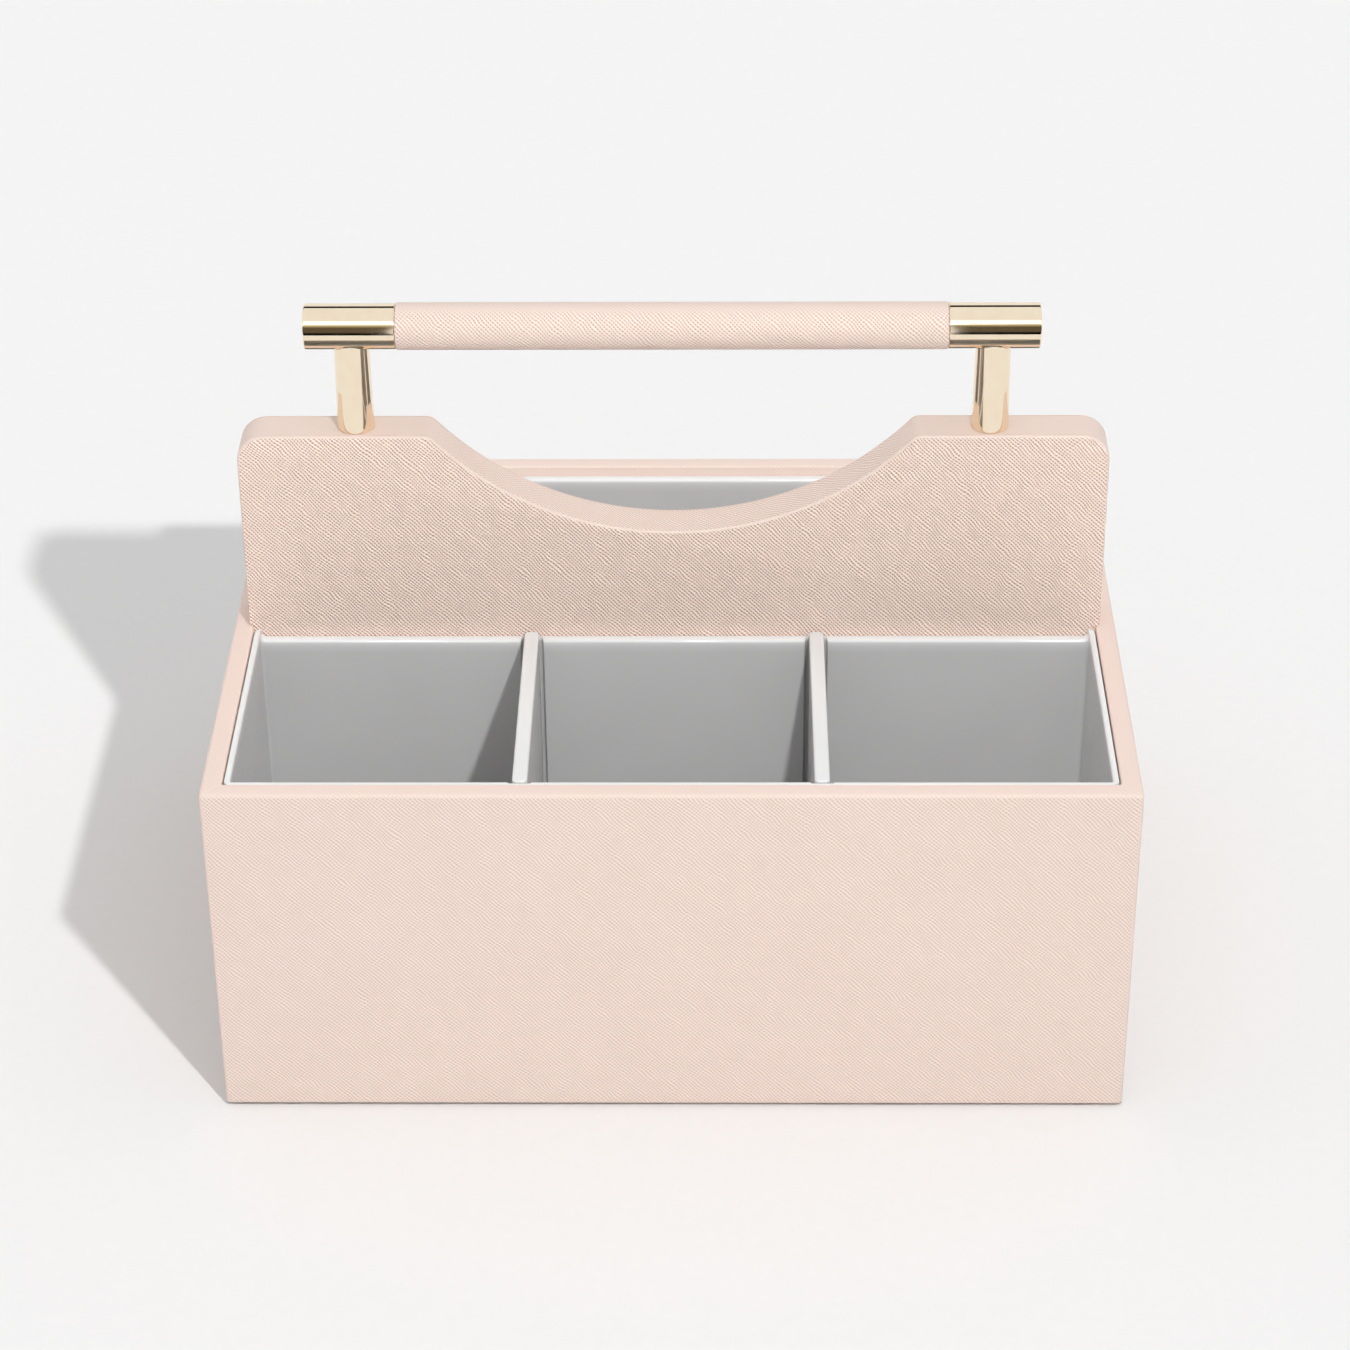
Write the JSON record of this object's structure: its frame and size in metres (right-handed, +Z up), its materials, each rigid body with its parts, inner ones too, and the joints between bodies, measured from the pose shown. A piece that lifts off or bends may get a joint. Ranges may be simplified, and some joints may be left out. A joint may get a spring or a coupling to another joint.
{
  "type": "makeup organizer",
  "caption": "Open leather-wrapped makeup organizer with a tall scooped partition, a grip bar on polished posts, and moulded trays and dividers that lift out.",
  "frame": {"origin": "on the floor, under the middle of the box", "axes": "+X to the right along the grip bar, +Y to the back, +Z up"},
  "size_m": [0.255, 0.188, 0.2072],
  "materials": {
    "fibreboard": "raw medium-density fibreboard",
    "blush_leather": "blush pink, fine cross-hatch emboss, semi-matt",
    "card": "grey card",
    "felt": "short-pile felt",
    "gold_plate": "polished light gold plate",
    "steel": "zinc-plated",
    "tray_plastic": "glossy pale grey, moulded"
  },
  "bodies": {
    "carcass": {"base_board": "fibreboard", "front_board": "fibreboard", "back_board": "fibreboard", "left_board": "fibreboard", "right_board": "fibreboard", "outer_wrap": "blush_leather", "base_liner": "card", "base_felt": "felt", "front_floor_lining": "felt", "rear_floor_lining": "felt", "partition_core": "fibreboard", "partition_front_cover": "blush_leather", "partition_back_cover": "blush_leather", "partition_edge_band": "blush_leather", "partition_screws": "steel", "left_post": "gold_plate", "right_post": "gold_plate", "left_ferrule": "gold_plate", "right_ferrule": "gold_plate", "grip_tube": "steel", "grip_wrap": "blush_leather", "post_hanger_bolts": "steel", "ferrule_grub_screws": "steel"},
    "front_insert": {"front_tray": "tray_plastic"},
    "rear_insert": {"rear_tray": "tray_plastic"},
    "left_divider": {"front_left_divider": "tray_plastic"},
    "right_divider": {"front_right_divider": "tray_plastic"}
  },
  "joints": [
    {"name": "front_tray_lift", "type": "slide", "parent": "carcass", "child": "front_insert", "axis": [0, 0, 1], "range_m": [0, 0.12]},
    {"name": "rear_tray_lift", "type": "slide", "parent": "carcass", "child": "rear_insert", "axis": [0, 0, 1], "range_m": [0, 0.12]},
    {"name": "left_divider_lift", "type": "slide", "parent": "front_insert", "child": "left_divider", "axis": [0, 0, 1], "range_m": [0, 0.1]},
    {"name": "right_divider_lift", "type": "slide", "parent": "front_insert", "child": "right_divider", "axis": [0, 0, 1], "range_m": [0, 0.1]}
  ]
}
